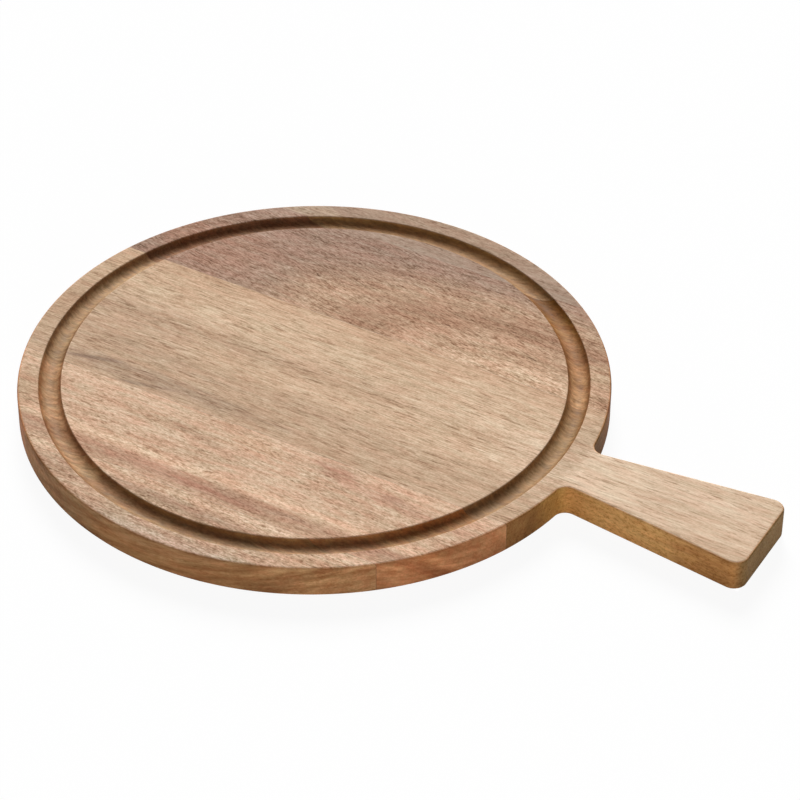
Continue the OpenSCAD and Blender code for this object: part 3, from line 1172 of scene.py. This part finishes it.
def saw(panel, node, name):
    """Saws one piece out of the panel, between the planes where its node lies."""
    low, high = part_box(node)
    bpy.ops.object.select_all(action="DESELECT")
    panel.select_set(True)
    bpy.context.view_layer.objects.active = panel
    bpy.ops.object.duplicate(linked=False)
    piece = bpy.context.object
    piece.name = name
    piece.data.name = name
    bpy.ops.object.mode_set(mode="EDIT")
    radius = bpy.context.scene.board_sizes.board_radius
    for plane, keep_above in ((low.y, True), (high.y, False)):
        if abs(plane) < radius - RIM_SPARE:
            bpy.ops.mesh.select_all(action="SELECT")
            bpy.ops.mesh.bisect(
                plane_co=(0.0, plane, 0.0), plane_no=(0.0, 1.0, 0.0), use_fill=True,
                clear_inner=keep_above, clear_outer=not keep_above, threshold=SAME_PLACE,
            )
    bpy.ops.mesh.select_all(action="SELECT")
    bpy.ops.mesh.remove_doubles(threshold=SAME_PLACE)
    bpy.ops.mesh.normals_make_consistent(inside=False)
    bpy.ops.object.mode_set(mode="OBJECT")
    bpy.ops.object.shade_smooth_by_angle(angle=SMOOTH_BELOW)
    smooth = piece.modifiers.new("even_shading", "WEIGHTED_NORMAL")
    smooth.keep_sharp = True
    smooth.weight = LARGE_FACE_WEIGHT
    bpy.ops.object.modifier_apply(modifier=smooth.name)
    return piece


def dress(piece, node, material):
    """Gives a piece its material, hangs it under the body and hides the node that it stands for."""
    piece.data.materials.clear()
    piece.data.materials.append(material)
    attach(piece, BODY)
    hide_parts(node)


def find_panel():
    """The glued panel that the pieces are sawn from."""
    panel = bpy.data.objects.get(PANEL_NAME)
    if panel is None:
        raise RuntimeError("the panel is glued up before it is sawn")
    return panel


class BOARD_OT_glue_up_panel(bpy.types.Operator):
    """Model the glued panel with its handle, eased edges and juice groove"""

    bl_idname = "board.glue_up_panel"
    bl_label = "Glue Up Panel"

    def execute(self, context):
        sizes = context.scene.board_sizes
        bpy.ops.object.select_all(action="DESELECT")
        draw_outline(sizes)
        extrude_panel(sizes)
        cut_groove(sizes)
        bpy.ops.object.mode_set(mode="OBJECT")
        return {"FINISHED"}


class BOARD_OT_saw_plain_staves(bpy.types.Operator):
    """Saw the four staves without a handle from the panel and give them their wood"""

    bl_idname = "board.saw_plain_staves"
    bl_label = "Saw Plain Staves"

    def execute(self, context):
        for node in PLAIN_STAVES:
            piece = saw(find_panel(), node, f"{node}_oiled")
            dress(piece, node, stave_wood(node))
        return {"FINISHED"}


class BOARD_OT_saw_handle_stave(bpy.types.Operator):
    """Saw the stave that carries the handle from the panel and give it its wood"""

    bl_idname = "board.saw_handle_stave"
    bl_label = "Saw Handle Stave"

    def execute(self, context):
        piece = saw(find_panel(), "handle_stave", "handle_stave_oiled")
        dress(piece, "handle_stave", stave_wood("handle_stave"))
        return {"FINISHED"}


class BOARD_OT_saw_glue_lines(bpy.types.Operator):
    """Saw the films of cured glue from the joints of the panel and give them their glue"""

    bl_idname = "board.saw_glue_lines"
    bl_label = "Saw Glue Lines"

    def execute(self, context):
        for node in GLUE_LINES:
            piece = saw(find_panel(), node, f"{node}_film")
            dress(piece, node, glue_film(node))
        bpy.data.objects.remove(find_panel())
        return {"FINISHED"}


def background_ray(wires):
    """One where a ray comes from the camera, a mirror or glass, and zero where it lights the board."""
    path = wires.node("ShaderNodeLightPath").outputs
    seen = wires.most(path["Is Camera Ray"], path["Is Glossy Ray"])
    return wires.most(seen, path["Is Transmission Ray"])


def board_footprint(wires):
    """One where the board rests on the floor, a little inside its outline, and zero elsewhere."""
    sizes = bpy.context.scene.board_sizes
    inset = sizes.edge_radius * FLOOR_INSET
    place = wires.node("ShaderNodeTexCoord").outputs["Object"]
    along, across, _ = wires.parted(place)
    flat = wires.combined(along, across, 0.0)
    disc = wires.math("LESS_THAN", wires.length(flat), sizes.board_radius - inset)
    beyond = wires.minus(along, sizes.board_radius)
    handle_length = sizes.handle_end - sizes.board_radius
    flare = (sizes.handle_end_width - sizes.handle_root_width) / 2 / handle_length
    half = wires.plus(wires.times(beyond, flare), sizes.handle_root_width / 2 - inset)
    strip = wires.math("LESS_THAN", wires.math("ABSOLUTE", across), half)
    reach = wires.math("LESS_THAN", beyond, handle_length - inset)
    return wires.most(disc, wires.times(strip, reach))


def lay_floor(settings):
    """A plain pale floor that shows white, keeps the shadow and lets a view from below through. It is
    open under the board, so that the lamp below reaches the underside."""
    bpy.ops.object.select_all(action="DESELECT")
    bpy.ops.mesh.primitive_plane_add(size=FLOOR_SIDE, location=(0.0, 0.0, 0.0))
    floor = bpy.context.object
    floor.name = "studio_floor"
    bpy.ops.object.mode_set(mode="EDIT")
    bpy.ops.transform.translate(value=(0.0, 0.0, -FLOOR_DROP))
    bpy.ops.mesh.subdivide(number_cuts=FLOOR_CUTS)
    bpy.ops.object.mode_set(mode="OBJECT")
    material, wires = new_material("pale_floor")
    seen = background_ray(wires)
    colour = wires.mix(seen, [settings.floor_bounce] * 3, FLOOR_PAINT)
    paint = wires.node("ShaderNodeBsdfDiffuse", {"Color": colour})
    white = wires.node("ShaderNodeEmission", {"Color": WHITE, "Strength": 1.0})
    shine = wires.times(seen, FLOOR_SHINE)
    pale = wires.node("ShaderNodeMixShader", {0: shine, 1: paint.outputs[0], 2: white.outputs[0]})
    clear = wires.node("ShaderNodeBsdfTransparent")
    under = wires.node("ShaderNodeNewGeometry").outputs["Backfacing"]
    opening = wires.most(under, board_footprint(wires))
    shader = wires.node("ShaderNodeMixShader", {0: opening, 1: pale.outputs[0], 2: clear.outputs[0]})
    wires.node("ShaderNodeOutputMaterial", {"Surface": shader.outputs[0]})
    floor.data.materials.append(material)


def light_room(settings):
    """Even light from all round, behind a white background."""
    world = bpy.data.worlds.new("white_room")
    bpy.context.scene.world = world
    world.use_nodes = True
    world.node_tree.nodes.clear()
    wires = Wires(world.node_tree)
    room = wires.node("ShaderNodeBackground", {"Color": WHITE, "Strength": settings.room_light})
    white = wires.node("ShaderNodeBackground", {"Color": WHITE, "Strength": 1.0})
    shader = wires.node(
        "ShaderNodeMixShader", {0: background_ray(wires), 1: room.outputs[0], 2: white.outputs[0]},
    )
    wires.node("ShaderNodeOutputWorld", {"Surface": shader.outputs[0]})


def hang_lamp(name, bearing, height, strength, softness):
    """A broad soft light from a bearing and a height above the horizon."""
    bpy.ops.object.select_all(action="DESELECT")
    bpy.ops.object.light_add(type="SUN", location=(0.0, 0.0, 1.0))
    lamp = bpy.context.object
    lamp.name = name
    lamp.data.energy = strength
    lamp.data.angle = softness
    level = math.cos(height)
    towards = Vector((math.cos(bearing) * level, math.sin(bearing) * level, math.sin(height)))
    lamp.rotation_mode = "QUATERNION"
    lamp.rotation_quaternion = towards.to_track_quat("Z", "Y")


def hang_lamps(settings):
    """The key light behind the board, the fill light low in front and a lamp for its underside."""
    hang_lamp(
        "soft_key", settings.key_bearing, settings.key_height, settings.key_strength,
        settings.key_softness,
    )
    hang_lamp(
        "soft_fill", settings.fill_bearing, settings.fill_height, settings.fill_strength,
        settings.fill_softness,
    )
    hang_lamp("under_lamp", 0.0, -math.pi / 2, settings.under_strength, settings.under_softness)


def set_camera(settings):
    """The camera, at the viewing angle of the photograph."""
    back = Vector((
        math.sin(settings.azimuth) * math.cos(settings.elevation),
        -math.cos(settings.azimuth) * math.cos(settings.elevation),
        math.sin(settings.elevation),
    ))
    right = Vector((math.cos(settings.azimuth), math.sin(settings.azimuth), 0.0))
    up = back.cross(right)
    turn = settings.roll
    right, up = right * math.cos(turn) + up * math.sin(turn), up * math.cos(turn) - right * math.sin(turn)
    camera = bpy.data.objects.new("camera", bpy.data.cameras.new("camera"))
    bpy.context.scene.collection.objects.link(camera)
    camera.data.sensor_width = 36.0
    camera.data.lens = settings.lens
    camera.data.clip_start = 0.01
    camera.data.clip_end = 50.0
    place = Vector(settings.aim) + back * settings.distance
    camera.matrix_world = Matrix.Translation(place) @ Matrix((right, up, back)).transposed().to_4x4()
    bpy.context.scene.camera = camera


class BOARD_OT_set_stage(bpy.types.Operator):
    """Set up the floor, the light and the camera"""

    bl_idname = "board.set_stage"
    bl_label = "Set Stage"

    def execute(self, context):
        settings = context.scene.board_studio
        context.scene.view_settings.view_transform = "Standard"
        lay_floor(settings)
        light_room(settings)
        hang_lamps(settings)
        set_camera(settings)
        return {"FINISHED"}


class BOARD_PT_serving_board(bpy.types.Panel):
    """Lists the sizes, the finish, the studio and the steps of the board"""

    bl_idname = "BOARD_PT_serving_board"
    bl_label = "Serving Board"
    bl_space_type = "VIEW_3D"
    bl_region_type = "UI"
    bl_category = "Board"

    def draw(self, context):
        scene = context.scene
        groups = (
            ("Board", scene.board_sizes), ("Finish", scene.board_finish), ("Studio", scene.board_studio),
        )
        for label, group in groups:
            box = self.layout.box()
            box.label(text=label)
            for name in group.bl_rna.properties.keys():
                if name not in {"rna_type", "name"}:
                    box.prop(group, name)
        column = self.layout.column(align=True)
        for step in STEPS:
            column.operator(step.bl_idname)


STEPS = (
    BOARD_OT_glue_up_panel, BOARD_OT_saw_plain_staves, BOARD_OT_saw_handle_stave,
    BOARD_OT_saw_glue_lines, BOARD_OT_set_stage,
)
CLASSES = (BoardSizes, FinishColours, StudioSettings, *STEPS, BOARD_PT_serving_board)


def register():
    """Adds the classes and the settings of the scene."""
    for made in CLASSES:
        bpy.utils.register_class(made)
    bpy.types.Scene.board_sizes = PointerProperty(type=BoardSizes)
    bpy.types.Scene.board_finish = PointerProperty(type=FinishColours)
    bpy.types.Scene.board_studio = PointerProperty(type=StudioSettings)


def unregister():
    """Takes the settings and the classes away again."""
    del bpy.types.Scene.board_studio
    del bpy.types.Scene.board_finish
    del bpy.types.Scene.board_sizes
    for made in reversed(CLASSES):
        bpy.utils.unregister_class(made)


def main():
    """Builds the board and its stage."""
    register()
    bpy.ops.board.glue_up_panel()
    bpy.ops.board.saw_plain_staves()
    bpy.ops.board.saw_handle_stave()
    bpy.ops.board.saw_glue_lines()
    bpy.ops.board.set_stage()


if __name__ == "__main__":
    main()
